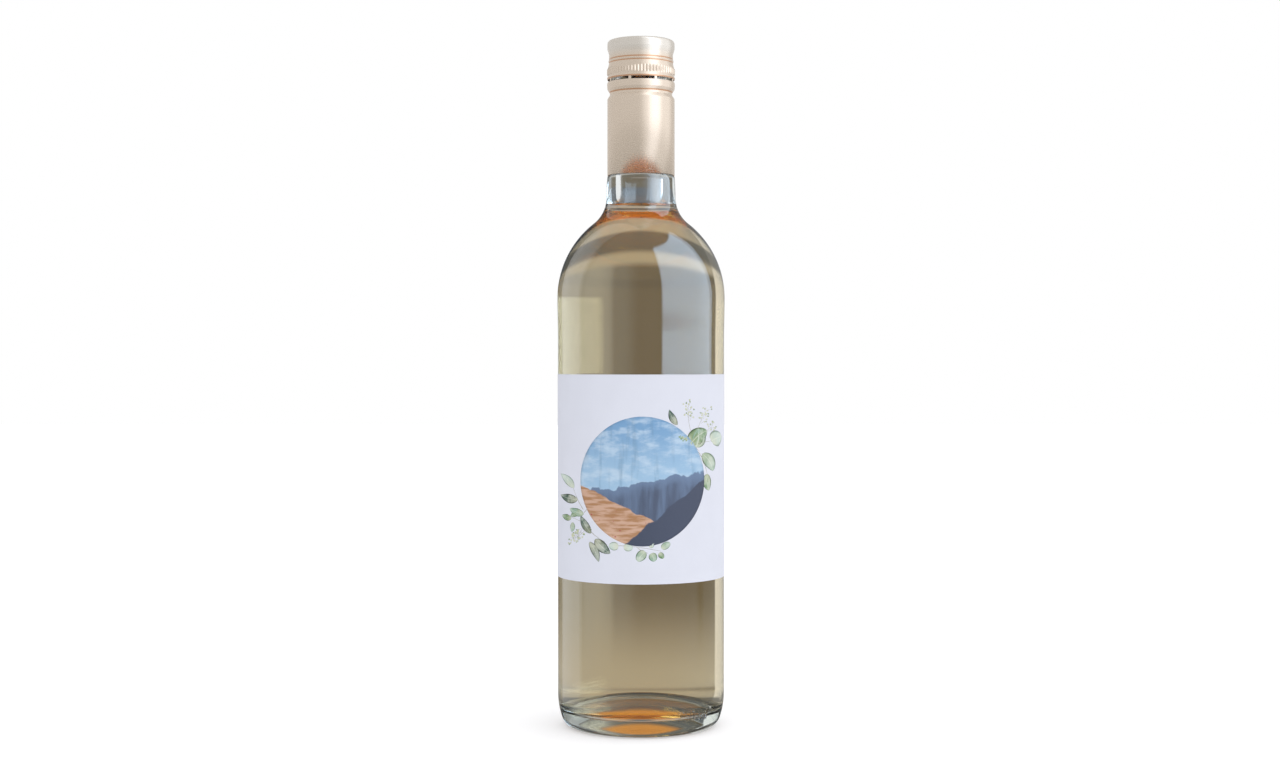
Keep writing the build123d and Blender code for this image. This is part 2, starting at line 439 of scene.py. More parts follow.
class Shader:
    """A node tree with one method that adds any node."""

    def __init__(self, tree):
        self.tree = tree
        tree.nodes.clear()

    def node(self, kind, settings=None, inputs=None, output=0):
        """Adds a node: its settings first, then the values or links of its sockets."""
        made = self.tree.nodes.new(kind)
        for name, setting in (settings or {}).items():
            setattr(made, name, setting)
        for key, value in (inputs or {}).items():
            if isinstance(value, Value):
                self.tree.links.new(value.socket, made.inputs[key])
            else:
                made.inputs[key].default_value = value
        return Value(self, made.outputs[output]) if made.outputs else made

    def parts(self, vector):
        """The x, y and z of a vector."""
        split = self.node("ShaderNodeSeparateXYZ", inputs={0: vector}).socket.node
        return [Value(self, socket) for socket in split.outputs]

    def place(self, output="Object"):
        """Texture coordinates."""
        return self.node("ShaderNodeTexCoord", output=output)

    def scaled(self, vector, scale):
        """A vector stretched along each axis."""
        return self.node("ShaderNodeVectorMath", {"operation": "MULTIPLY"}, {0: vector, 1: scale})

    def noise(self, vector, scale, detail=2.0, roughness=0.5, output=0):
        """Soft noise, of about `scale` cells a metre."""
        inputs = {"Vector": vector, "Scale": scale, "Detail": detail, "Roughness": roughness}
        return self.node("ShaderNodeTexNoise", inputs=inputs, output=output)

    def mix(self, factor, first, second):
        """Colour between two colours."""
        first, second = (tint if isinstance(tint, Value) else (*tint, 1) for tint in (first, second))
        return self.node("ShaderNodeMix", {"data_type": "RGBA"}, {0: factor, 6: first, 7: second}, 2)

    def bump(self, height, distance, strength=1.0):
        """Normal of a relief of that height."""
        inputs = {"Strength": strength, "Distance": distance, "Height": height}
        return self.node("ShaderNodeBump", inputs=inputs)

    def principled(self, **inputs):
        """Principled surface; an underscore in a name stands for a space."""
        named = {key.replace("_", " "): value for key, value in inputs.items()}
        if "Base Color" in named and not isinstance(named["Base Color"], Value):
            named["Base Color"] = (*named["Base Color"], 1)
        return self.node("ShaderNodeBsdfPrincipled", inputs=named)

    def absorption(self, tint, density):
        """Volume that darkens towards a tint."""
        return self.node("ShaderNodeVolumeAbsorption", inputs={"Color": (*tint, 1), "Density": density})


def material(name):
    """New material and its shader."""
    made = bpy.data.materials.new(name)
    made.use_nodes = True
    return made, Shader(made.node_tree)


def clear_material(name, index, tint, density, ripple, ripple_scale):
    """Smooth transparent solid that absorbs light, with a faint waviness."""
    made, shader = material(name)
    waves = shader.noise(shader.scaled(shader.place(), (1, 1, 0.35)), ripple_scale, 1.0)
    surface = shader.principled(
        Base_Color=(1, 1, 1),
        Roughness=0.0,
        IOR=index,
        Transmission_Weight=1.0,
        Normal=shader.bump(waves, ripple),
    )
    volume = shader.absorption(tint, density)
    shader.node("ShaderNodeOutputMaterial", inputs={"Surface": surface, "Volume": volume})
    return made


def lacquer_material(colours):
    """Pearly champagne lacquer on metal, with fine rolling lines round the skirt; the crown is painted paler
    as a painted highlight, and warm lines of painted reflection are painted at the grooves.
    """
    made, shader = material("champagne_lacquer")
    place = shader.place()
    x, y, height = shader.parts(place)
    # Painted highlight: the crown is painted paler towards the top, where the light falls.
    crown = height.step(CLOSURE_BOX[1].z - 9 * MM, CLOSURE_BOX[1].z - 4 * MM)
    flakes = shader.noise(place, 9000, 2.0)
    lines = shader.noise(shader.scaled(place, (1, 1, 14)), 420, 2.0)
    tint = shader.mix(crown, colours.closure, colours.closure_crown_highlight)
    tint = shader.mix(flakes.step(0.35, 0.75, 0, 0.16), tint, (0.55, 0.5, 0.44))
    top = CLOSURE_BOX[1].z
    # Painted reflection: warm lines at the grooves' edges, where the metal would reflect itself.
    for low, high in GROOVE_REFLECTION_DEPTHS:
        line = height.within(float(top - high), float(top - low), 0.3 * MM)
        tint = shader.mix(line * 0.75, tint, colours.groove_reflection)
    surface = shader.principled(
        Base_Color=tint,
        Metallic=0.88,
        Roughness=lines.step(0.3, 0.7, 0.24, 0.3),
        Normal=shader.bump(lines, 0.012 * MM, 0.6),
        Coat_Weight=0.25,
        Coat_Roughness=0.2,
    )
    shader.node("ShaderNodeOutputMaterial", inputs={"Surface": surface})
    return made


def paper_material(colours):
    """Uncoated paper: fibres, faint clouding and a matt face."""
    made, shader = material("label_paper")
    place = shader.place()
    fibres = shader.noise(shader.scaled(place, (1, 1, 2.2)), 2600, 5.0, 0.65)
    cloud = shader.noise(place, 60, 2.0)
    tint = shader.mix(cloud.step(0.3, 0.7, 0, 0.35), colours.paper, tuple(0.93 * c for c in colours.paper))
    tint = shader.mix(fibres.step(0.35, 0.75, 0, 0.12), tint, (0.55, 0.56, 0.62))
    surface = shader.principled(
        Base_Color=tint, Roughness=0.72, Specular_IOR_Level=0.3, Normal=shader.bump(fibres, 0.03 * MM, 0.7)
    )
    shader.node("ShaderNodeOutputMaterial", inputs={"Surface": surface})
    return made


# ---------------------------------------------------------------- glass, wine and closure


def build_glass(sizes, colours):
    """Glass shell: its outside from the punt to the lip, and its inside back down to the floor."""
    outline = Outline(sizes)
    profile = chain(outline.outside(), outline.inside()[::-1])
    glass = clear_material("clear_glass", 1.5, colours.glass, 9.0, 0.02 * MM, 70)
    return finish_piece(revolve("bottle_glass", profile), glass, "glass", "glass")


def build_wine(sizes, colours):
    """Wine: the inside of the glass, moved just into the wall, up to a level with a curved edge."""
    outline = Outline(sizes)
    inside = outline.inside(-sizes.wine_reach)
    level = WINE_BOX[1].z
    brim = level + sizes.meniscus
    edge = np.array((np.interp(brim, inside[:, 1], inside[:, 0]), brim))
    share = np.linspace(0, 1, 12)
    spread = 3 * sizes.meniscus
    meniscus = np.column_stack((edge[0] - spread * share, level + sizes.meniscus * (1 - share) ** 3))
    below = inside[inside[:, 1] < brim - 0.05 * MM]
    profile = chain(below, meniscus, straight(meniscus[-1], (0, level), 6))
    wine = clear_material("white_wine", 1.34, colours.wine, 22.0, 0.0, 40)
    return finish_piece(revolve("white_wine", profile), wine, "wine", "wine")


def closure_corners(sizes):
    """Corners of the closure's outside, from its top down: depth, radius and rounding."""
    skirt = sizes.finish_radius + 0.2 * MM + sizes.closure_wall
    waist, band, bead = skirt - 0.75 * MM, skirt - 0.25 * MM, skirt + 0.15 * MM
    groove = skirt - 1.1 * MM
    rings = (
        (0, skirt, 2.6),
        (3.8, skirt, 1.0),
        (6.2, waist, 1.0),
        (8.5, waist, 0.3),
        (9.3, waist + 0.3 * MM, 0.3),
        (10.1, waist, 0.35),
        (12.2, band, 0.5),
        (15.8, band, 0.3),
        (16.8, bead, 0.35),
        (17.5, skirt, 0.12),
        (18.8, skirt, 0.12),
        (19.5, bead, 0.4),
        (21.7, skirt, 0.9),
        (23.4, groove, 0.6),
        (24.4, groove, 0.6),
        (26.1, skirt, 0.9),
    )
    return [(depth * MM, radius, rounding * MM) for depth, radius, rounding in rings]


def closure_profile(sizes, inset):
    """Closure's outline moved in by `inset`, from the middle of its top to the skirt's lower edge."""
    top, bottom = CLOSURE_BOX[1].z, CLOSURE_BOX[0].z
    corners = [(0, top - inset, 0)]
    for depth, radius, rounding in closure_corners(sizes):
        corners.append((radius - inset, top - max(depth, inset), max(rounding - inset, 0.1 * MM)))
    corners.append((corners[-1][0], bottom, 0))
    return rounded(corners, 6)


def build_closure(sizes, colours):
    """Closure: a shell of revolution with ribs pressed out of it and slots cut through it."""
    steps = 6 * sizes.rib_count
    top = CLOSURE_BOX[1].z
    inner, outer = closure_profile(sizes, sizes.closure_wall), closure_profile(sizes, 0)[::-1]
    grip = np.linspace(top - RIB_DEPTHS[1], top - RIB_DEPTHS[0], 7)
    where = np.searchsorted(outer[:, 1], grip)
    radii = np.interp(grip, outer[:, 1], outer[:, 0])
    outer = np.insert(outer, where, np.column_stack((radii, grip)), axis=0)
    profile = np.vstack((inner[1:], outer[:-1]))
    rings = turned(profile, steps)
    split = len(inner) - 1

    turn = np.linspace(0, 2 * pi, steps, endpoint=False)
    ribs = np.clip(0.5 + 0.75 * np.cos(turn * sizes.rib_count), 0, 1)
    depth = top - profile[:, 1]
    middle, half = sum(RIB_DEPTHS) / 2, (RIB_DEPTHS[1] - RIB_DEPTHS[0]) / 2
    band = np.clip((1 - (np.abs(depth - middle) / half) ** 4) * 1.6, 0, 1)
    band = band * (np.arange(len(profile)) >= split)
    swollen = 1 + sizes.rib_relief * band[:, None] * ribs / np.maximum(profile[:, :1], MM)
    rings[:, :, :2] *= swollen[:, :, None]

    pitch = 2 * pi / sizes.slot_count
    from_front = turn + pi / steps + pi / 2 - sizes.slot_turn
    in_slot = np.abs((from_front + pitch / 2) % pitch - pitch / 2) < (pitch - sizes.slot_bridge) / 2
    middle_depth = (depth[1:] + depth[:-1]) / 2
    slot_rows = (middle_depth > SLOT_DEPTHS[0] + 0.2 * MM) & (middle_depth < SLOT_DEPTHS[1] - 0.2 * MM)
    holes = slot_rows[:, None] & in_slot[None, :]
    quads = grid_faces(len(profile), steps)
    shell = quads[~holes]

    inner_row, outer_row = np.flatnonzero(slot_rows)[[0, -1]]
    inner_quads, outer_quads = quads[inner_row][in_slot], quads[outer_row][in_slot]
    upper = np.stack((inner_quads[:, 0], inner_quads[:, 1], outer_quads[:, 2], outer_quads[:, 3]), axis=-1)
    lower = np.stack((inner_quads[:, 3], inner_quads[:, 2], outer_quads[:, 1], outer_quads[:, 0]), axis=-1)
    starts = in_slot & ~np.roll(in_slot, 1)
    ends = in_slot & ~np.roll(in_slot, -1)
    first_in, first_out = quads[inner_row][starts], quads[outer_row][starts]
    last_in, last_out = quads[inner_row][ends], quads[outer_row][ends]
    left = np.stack((first_in[:, 0], first_in[:, 3], first_out[:, 0], first_out[:, 3]), axis=-1)
    right = np.stack((last_in[:, 1], last_in[:, 2], last_out[:, 1], last_out[:, 2]), axis=-1)

    poles = np.array([(0, 0, inner[0, 1]), (0, 0, outer[-1, 1])])
    vertices = np.vstack((rings.reshape(-1, 3), poles))
    rows = len(profile)
    inside_top = fan_faces(rows * steps, 0, steps, upward=False)
    outside_top = fan_faces(rows * steps + 1, (rows - 1) * steps, steps, upward=True)
    walls = np.vstack((upper, lower, left, right))
    piece = make_mesh("screw_closure", vertices, shell, walls, inside_top, outside_top)
    face_outwards(piece.data)
    return finish_piece(piece, lacquer_material(colours), "closure", "closure")


# ---------------------------------------------------------------- label and print


def wrap(across, height, lift):
    """Puts a drawing seen from the front on the label: its turn is the arcsine of across over the radius."""
    radius = LABEL_BOX[1].x
    turn = np.arcsin(np.clip(across / radius, -0.999, 0.999))
    return np.stack(((radius + lift) * np.sin(turn), -(radius + lift) * np.cos(turn), height), axis=-1)


def build_label(sizes, colours):
    """Label: a rounded strip of paper, its section carried round the body."""
    outer, inner = LABEL_BOX[1].x, Outline(sizes).panel
    back = LABEL_BOX[1].y
    half_wrap = pi / 2 + asin(back / outer)
    low, high = LABEL_BOX[0].z, LABEL_BOX[1].z
    edge = 0.04 * MM
    section = rounded(
        [
            (inner, (low + high) / 2, 0),
            (inner, low, edge),
            (outer, low, edge),
            (outer, high, edge),
            (inner, high, edge),
            (inner, (low + high) / 2, 0),
        ],
        4,
    )[:-1]
    turn = np.linspace(-half_wrap, half_wrap, 161)[:, None] - pi / 2
    radius, height = section[:, 0], section[:, 1]
    height = np.broadcast_to(height, (len(turn), len(section)))
    points = np.stack((radius * np.cos(turn), radius * np.sin(turn), height), axis=-1)
    count = len(section)
    sides = grid_faces(len(turn), count).reshape(-1, 4)[:, ::-1]
    first = np.arange(count)[None, :]
    last = first[:, ::-1] + (len(turn) - 1) * count
    piece = make_mesh("label_paper", points.reshape(-1, 3), sides, first, last)
    return finish_piece(piece, paper_material(colours), "label", "label")


def build_picture(sizes, colours):
    """Round picture: a thin disc on the paper, its printed landscape drawn in its own flat map."""
    rings, steps = 24, 128
    outwards = np.linspace(0, 1, rings + 1)[1:]
    share = np.concatenate((outwards, outwards[::-1]))
    lift = np.repeat((sizes.ink, -sizes.ink), rings)
    turn = np.linspace(0, 2 * pi, steps, endpoint=False)
    centre_height = LABEL_BOX[0].z + 43.8 * MM
    across, up = share[:, None] * np.cos(turn), share[:, None] * np.sin(turn)
    points = wrap(sizes.picture_radius * across + 0.6 * MM, centre_height + 27.6 * MM * up, lift[:, None])
    poles = wrap(np.full(2, 0.6 * MM), np.full(2, centre_height), np.array((sizes.ink, -sizes.ink)))
    vertices = np.vstack((points.reshape(-1, 3), poles))
    rows = len(share)
    sides = grid_faces(rows, steps).reshape(-1, 4)[:, ::-1]
    front = fan_faces(rows * steps, 0, steps, upward=True)
    back = fan_faces(rows * steps + 1, (rows - 1) * steps, steps, upward=False)
    piece = make_mesh("medallion_picture", vertices, sides, front, back)
    flat = np.concatenate((np.stack((across, up), axis=-1).reshape(-1, 2), np.zeros((2, 2))))
    set_map(piece, flat)
    return finish_piece(piece, picture_material(colours), "label")


def set_map(piece, flat):
    """Writes a UV map from one pair of numbers for each vertex."""
    mesh = piece.data
    corners = np.empty(len(mesh.loops), dtype=np.int32)
    mesh.loops.foreach_get("vertex_index", corners)
    layer = mesh.uv_layers.new(name="flat")
    layer.data.foreach_set("uv", flat[corners].astype(np.float32).ravel())


def picture_material(colours):
    """Printed landscape: sky with soft cloud, far hills, a sunlit field with flowers, and a near hill."""
    made, shader = material("landscape_print")
    flat = shader.node("ShaderNodeUVMap", {"uv_map": "flat"})
    x, y, _ = shader.parts(flat)
    cloud = shader.noise(shader.scaled(flat, (1.0, 2.2, 1)), 2.3, 4.0, 0.6)
    streaks = shader.noise(shader.scaled(flat, (7.0, 0.9, 1)), 1.0, 3.0, 0.55)
    ragged = shader.noise(flat, 3.1, 3.0)
    tint = shader.mix(y.step(0.0, 1.0), colours.cloud, colours.sky)
    tint = shader.mix(cloud.step(0.42, 0.66, 0, 0.75), tint, (0.52, 0.66, 0.8))
    tint = shader.mix(streaks.step(0.5, 0.72, 0, 0.45), tint, (0.1, 0.22, 0.36))
    far = y - (x * 0.16 + ragged * 0.42 - 0.22)
    tint = shader.mix(far.step(0.012, -0.012), tint, colours.slate)
    tint = shader.mix(far.step(0.0, -0.25) * streaks.step(0.3, 0.7, 0.2, 0.8), tint, colours.navy)
    field = y - (x * -0.45 + ragged * 0.2 - 0.62)
    rows = (x * 2.2 + y * 3.4).math("SINE")
    furrows = shader.noise(shader.scaled(flat, (2.5, 14, 1)), 1.4, 3.0)
    soil = shader.mix(furrows.step(0.4, 0.62), colours.tan, colours.ochre)
    soil = shader.mix(rows.step(0.2, 1.0, 0, 0.35), soil, (0.75, 0.5, 0.34))
    tint = shader.mix(field.step(0.012, -0.012), tint, soil)
    specks = shader.node("ShaderNodeTexVoronoi", inputs={"Vector": flat, "Scale": 17.0}, output="Distance")
    flowers = specks.step(0.24, 0.16) * field.step(-0.05, -0.2) * ragged.step(0.5, 0.56)
    tint = shader.mix(flowers, tint, colours.red)
    near = y - (x * 0.75 + ragged * 0.25 - 0.86)
    tint = shader.mix(near.step(0.015, -0.015), tint, colours.navy)
    grain = shader.noise(flat, 160, 2.0)
    tint = shader.mix(grain.step(0.3, 0.7, 0, 0.12), tint, (0.7, 0.75, 0.8))
    surface = shader.principled(
        Base_Color=tint, Roughness=0.55, Specular_IOR_Level=0.35, Normal=shader.bump(grain, 0.01 * MM, 0.5)
    )
    shader.node("ShaderNodeOutputMaterial", inputs={"Surface": surface})
    return made


def blade(path, half_width, lift, sides=8):
    """Flat closed spindle on the paper: a path, its half width at each point, and a lens-shaped section.

    A point is the path plus the width times the cosine of a turn across it, lifted by the turn's sine.
    """
    along = np.gradient(path, axis=0)
    along /= np.linalg.norm(along, axis=1, keepdims=True)
    across = np.column_stack((-along[:, 1], along[:, 0]))
    turn = np.linspace(0, 2 * pi, sides, endpoint=False)
    ring = path[1:-1, None, :] + across[1:-1, None, :] * (half_width[1:-1, None] * np.cos(turn))[:, :, None]
    points = wrap(ring[:, :, 0], ring[:, :, 1], np.broadcast_to(lift * np.sin(turn), ring.shape[:2]))
    tips = wrap(path[[0, -1], 0], path[[0, -1], 1], np.zeros(2))
    rows = len(ring)
    share = np.linspace(0, 1, len(path))
    flat = np.stack(np.broadcast_arrays(share[1:-1, None], 0.5 + 0.5 * np.cos(turn)), axis=-1).reshape(-1, 2)
    flat = np.vstack((flat, ((0, 0.5), (1, 0.5))))
    quads = grid_faces(rows, sides).reshape(-1, 4)
    start = fan_faces(rows * sides, 0, sides, upward=False)
    end = fan_faces(rows * sides + 1, (rows - 1) * sides, sides, upward=True)
    return np.vstack((points.reshape(-1, 3), tips)), quads, np.vstack((start, end)), flat


def join_blades(name, blades, tints):
    """One mesh of many blades, with a flat map along and across each and its tint as an attribute."""
    counts = [len(vertices) for vertices, _, _, _ in blades]
    offsets = np.cumsum(counts) - counts
    vertices = np.vstack([vertices for vertices, _, _, _ in blades])
    quads = np.vstack([quads + offset for (_, quads, _, _), offset in zip(blades, offsets)])
    ends = np.vstack([ends + offset for (_, _, ends, _), offset in zip(blades, offsets)])
    piece = make_mesh(name, vertices, quads, ends)
    set_map(piece, np.vstack([flat for _, _, _, flat in blades]))
    inks = np.repeat([(*linear(*tint), 1.0) for tint in tints], counts, axis=0)
    attribute = piece.data.color_attributes.new("ink", "FLOAT_COLOR", "POINT")
    attribute.data.foreach_set("color", inks.astype(np.float32).ravel())
    face_outwards(piece.data)
    return piece


def leaf(base, heading, reach, width, bend=0.0, fullness=1.0):
    """Leaf: a bowed midrib, and a half width of a sine raised to a power, fuller towards the stalk."""
    share = np.linspace(0, 1, 22)
    turn = radians(heading)
    forward, aside = np.array((cos(turn), sin(turn))), np.array((-sin(turn), cos(turn)))
    bow = bend * np.sin(pi * share)
    path = (np.array(base) + reach * share[:, None] * forward + bow[:, None] * aside) * MM
    half = width / 2 * np.sin(pi * share**0.85) ** fullness * MM
    return path, half


def stem(points, thickness=0.22):
    """Stem: a smooth curve through the middle of a bent line, thinning towards its end."""
    start, middle, end = (np.array(point, dtype=float) for point in points)
    share = np.linspace(0, 1, 24)[:, None]
    path = ((1 - share) ** 2 * start + 2 * share * (1 - share) * middle + share**2 * end) * MM
    half = thickness / 2 * (1.15 - 0.6 * share[:, 0]) * MM
    half[[0, -1]] = 0
    return path, half


def ink_material(name, vein):
    """Watercolour ink: a tint that pools at its edge, a paler midrib and a mottled wash."""
    made, shader = material(name)
    flat = shader.node("ShaderNodeUVMap", {"uv_map": "flat"})
    tint = shader.node("ShaderNodeAttribute", {"attribute_name": "ink"}, output="Color")
    along, across, _ = shader.parts(flat)
    place = shader.place()
    wash = shader.noise(place, 260, 3.0, 0.6)
    rim = abs(across - 0.5).step(0.3, 0.5)
    rib = abs(across - 0.5).step(0.05, 0.0)
    pale = shader.mix(wash.step(0.35, 0.68, 0, 0.6), tint, (0.72, 0.76, 0.68))
    pale = shader.mix(along.step(0.75, 0.1, 0, 0.35), pale, (0.62, 0.6, 0.42))
    multiply = {"data_type": "RGBA", "blend_type": "MULTIPLY"}
    deep = shader.node("ShaderNodeMix", multiply, {0: 0.75, 6: pale, 7: tint}, 2)
    tone = shader.mix(rim, pale, deep)
    tone = shader.mix(rib * vein, tone, (0.72, 0.76, 0.66))
    surface = shader.principled(Base_Color=tone, Roughness=0.65, Specular_IOR_Level=0.3)
    shader.node("ShaderNodeOutputMaterial", inputs={"Surface": surface})
    return made


SAGE, PALE, STRAW = (142, 172, 152), (186, 204, 196), (192, 198, 160)
GREEN, DARK = (104, 140, 96), (58, 88, 76)
LEAVES = (  # base and tip direction in the front view, length, width, bow, fullness and tint
    ((15.6, 134.2), 118, 7.6, 3.0, 0.5, 0.9, DARK),
    ((21.0, 125.6), 38, 9.6, 7.4, 0.8, 0.6, GREEN),
    ((23.6, 124.4), 82, 8.2, 6.6, -0.6, 0.6, SAGE),
    ((20.2, 127.8), 158, 4.6, 3.4, 0.2, 0.7, GREEN),
    ((30.4, 126.8), 18, 5.2, 7.2, 0.3, 0.5, PALE),
    ((26.4, 121.6), -58, 9.2, 5.2, 0.9, 0.7, SAGE),
    ((28.6, 112.8), -84, 7.4, 3.8, -0.5, 0.7, GREEN),
    ((-29.0, 106.6), 138, 8.4, 3.6, -0.5, 0.8, PALE),
    ((-27.2, 101.8), 172, 8.2, 4.0, 0.5, 0.8, DARK),
    ((-26.6, 97.4), -142, 5.2, 2.6, 0.3, 0.8, GREEN),
    ((-24.6, 95.8), 164, 6.6, 3.4, 0.4, 0.7, SAGE),
    ((-30.2, 93.4), 170, 4.4, 2.8, 0.2, 0.7, GREEN),
    ((-29.6, 91.8), -96, 4.4, 2.2, 0.2, 0.8, SAGE),
    ((-21.4, 87.6), 122, 8.6, 3.4, 0.4, 0.8, DARK),
    ((-19.6, 85.4), -42, 8.8, 4.6, -0.5, 0.7, DARK),
    ((-22.2, 84.0), -64, 9.4, 3.4, 0.6, 0.8, DARK),
    ((-9.6, 82.6), 176, 4.2, 3.6, 0.1, 0.5, PALE),
    ((-7.4, 82.4), -8, 4.0, 3.4, 0.1, 0.5, PALE),
    ((1.8, 80.6), -128, 5.4, 4.2, -0.2, 0.5, SAGE),
    ((4.4, 79.8), -70, 3.8, 3.6, 0.1, 0.5, SAGE),
    ((7.6, 79.8), -50, 3.0, 2.4, 0.1, 0.5, GREEN),
    ((8.8, 81.6), 32, 4.4, 3.0, 0.2, 0.5, SAGE),
    ((3.6, 82.2), 40, 2.8, 2.0, 0.1, 0.6, PALE),
)
STEMS = (
    ((14.6, 131.0), (19.6, 129.6), (25.2, 122.4)),
    ((24.8, 126.0), (27.0, 126.6), (30.8, 127.0)),
    ((24.6, 122.6), (27.6, 118.6), (28.6, 112.4)),
    ((-24.8, 97.6), (-27.6, 101.4), (-29.4, 107.0)),
    ((-21.0, 89.0), (-24.0, 92.6), (-31.0, 94.0)),
    ((-24.6, 96.2), (-22.6, 98.8), (-20.8, 100.0)),
    ((-21.4, 88.4), (-19.2, 86.0), (-15.4, 84.4)),
    ((-11.0, 82.8), (-4.0, 83.4), (9.4, 80.4)),
    ((-1.6, 82.2), (0.6, 80.4), (3.0, 79.8)),
)
SPRAYS = (  # foot, heading, length and number of twigs of each spray of buds
    ((21.4, 131.4), 96, 10.5, 7),
    ((24.0, 130.6), 66, 10.0, 7),
    ((26.4, 129.2), 42, 6.0, 4),
    ((-23.8, 93.0), -118, 8.5, 6),
    ((-22.6, 90.4), -140, 9.5, 6),
)


def build_sprigs(sizes):
    """Printed sprigs: leaves, stems and sprays of buds, each a thin closed layer of ink."""
    leaves = [blade(*leaf(*shape[:6]), sizes.ink) for shape in LEAVES]
    piece = join_blades("leaf_print", leaves, [shape[6] for shape in LEAVES])
    finish_piece(piece, ink_material("leaf_ink", 0.6), "label")
    twigs, buds = [stem(points) for points in STEMS], []
    random = np.random.default_rng(12)
    for foot, heading, reach, count in SPRAYS:
        turn = radians(heading)
        tip = (foot[0] + reach * cos(turn), foot[1] + reach * sin(turn))
        middle = (foot[0] + 0.5 * reach * cos(turn + 0.2), foot[1] + 0.5 * reach * sin(turn + 0.2))
        twigs.append(stem((foot, middle, tip), 0.13))
        for order in range(count):
            share = 0.35 + 0.65 * (order + 1) / count
            side = turn + (0.75 if order % 2 else -0.75) * random.uniform(0.6, 1.2)
            root = (foot[0] + reach * share * cos(turn), foot[1] + reach * share * sin(turn))
            twig = random.uniform(1.2, 2.4)
            end = (root[0] + twig * cos(side), root[1] + twig * sin(side))
            twigs.append(stem((root, ((root[0] + end[0]) / 2, (root[1] + end[1]) / 2 + 0.2), end), 0.1))
            for _ in range(3):
                spot = (end[0] + random.uniform(-0.8, 0.6), end[1] + random.uniform(-0.6, 0.7))
                buds.append(leaf(spot, random.uniform(0, 360), random.uniform(0.6, 1.0), 0.65, 0, 0.5))
    stems = [blade(path, half, 0.6 * sizes.ink, 6) for path, half in twigs]
    piece = join_blades("stem_print", stems, [(128, 122, 112)] * len(stems))
    finish_piece(piece, ink_material("stem_ink", 0.0), "label")
    dots = [blade(path, half, sizes.ink, 6) for path, half in buds]
    piece = join_blades("bud_print", dots, [STRAW if index % 3 else GREEN for index in range(len(dots))])
    finish_piece(piece, ink_material("bud_ink", 0.0), "label")


def build_volume_mark(sizes, colours):
    """Volume moulded on the heel: figures whose points are each put on the heel at their own height."""
    text = bpy.data.curves.new("volume_mark", "FONT")
    text.body = "750 ml"
    text.size = sizes.mark_height / 0.7
    text.extrude = 0.22 * MM
    text.bevel_depth = 0.08 * MM
    text.bevel_resolution = 1
    text.offset = 0.02 * MM
    holder = bpy.data.objects.new("volume_text", text)
    bpy.context.scene.collection.objects.link(holder)
    bpy.context.view_layer.update()
    mesh = bpy.data.meshes.new_from_object(holder)
    bpy.data.objects.remove(holder)
    count = len(mesh.vertices)
    flat = np.empty(count * 3, dtype=np.float32)
    mesh.vertices.foreach_get("co", flat)
    flat = flat.reshape(-1, 3).astype(float)
    side = Outline(sizes).foot_side()
    height = 6.9 * MM + flat[:, 1]
    radius = np.interp(height, side[:, 1], side[:, 0]) + flat[:, 2]
    turn = radians(25.5) + flat[:, 0] / side[-1, 0]
    placed = np.column_stack((radius * np.sin(turn), -radius * np.cos(turn), height))
    mesh.vertices.foreach_set("co", placed.astype(np.float32).ravel())
    mesh.update()
    piece = bpy.data.objects.new("volume_mark", mesh)
    bpy.context.scene.collection.objects.link(piece)
    face_outwards(mesh, 0.002 * MM)
    mesh.materials.clear()
    glass = clear_material("moulded_glass", 1.5, colours.glass, 9.0, 0.02 * MM, 70)
    return finish_piece(piece, glass, "glass")


# ---------------------------------------------------------------- studio


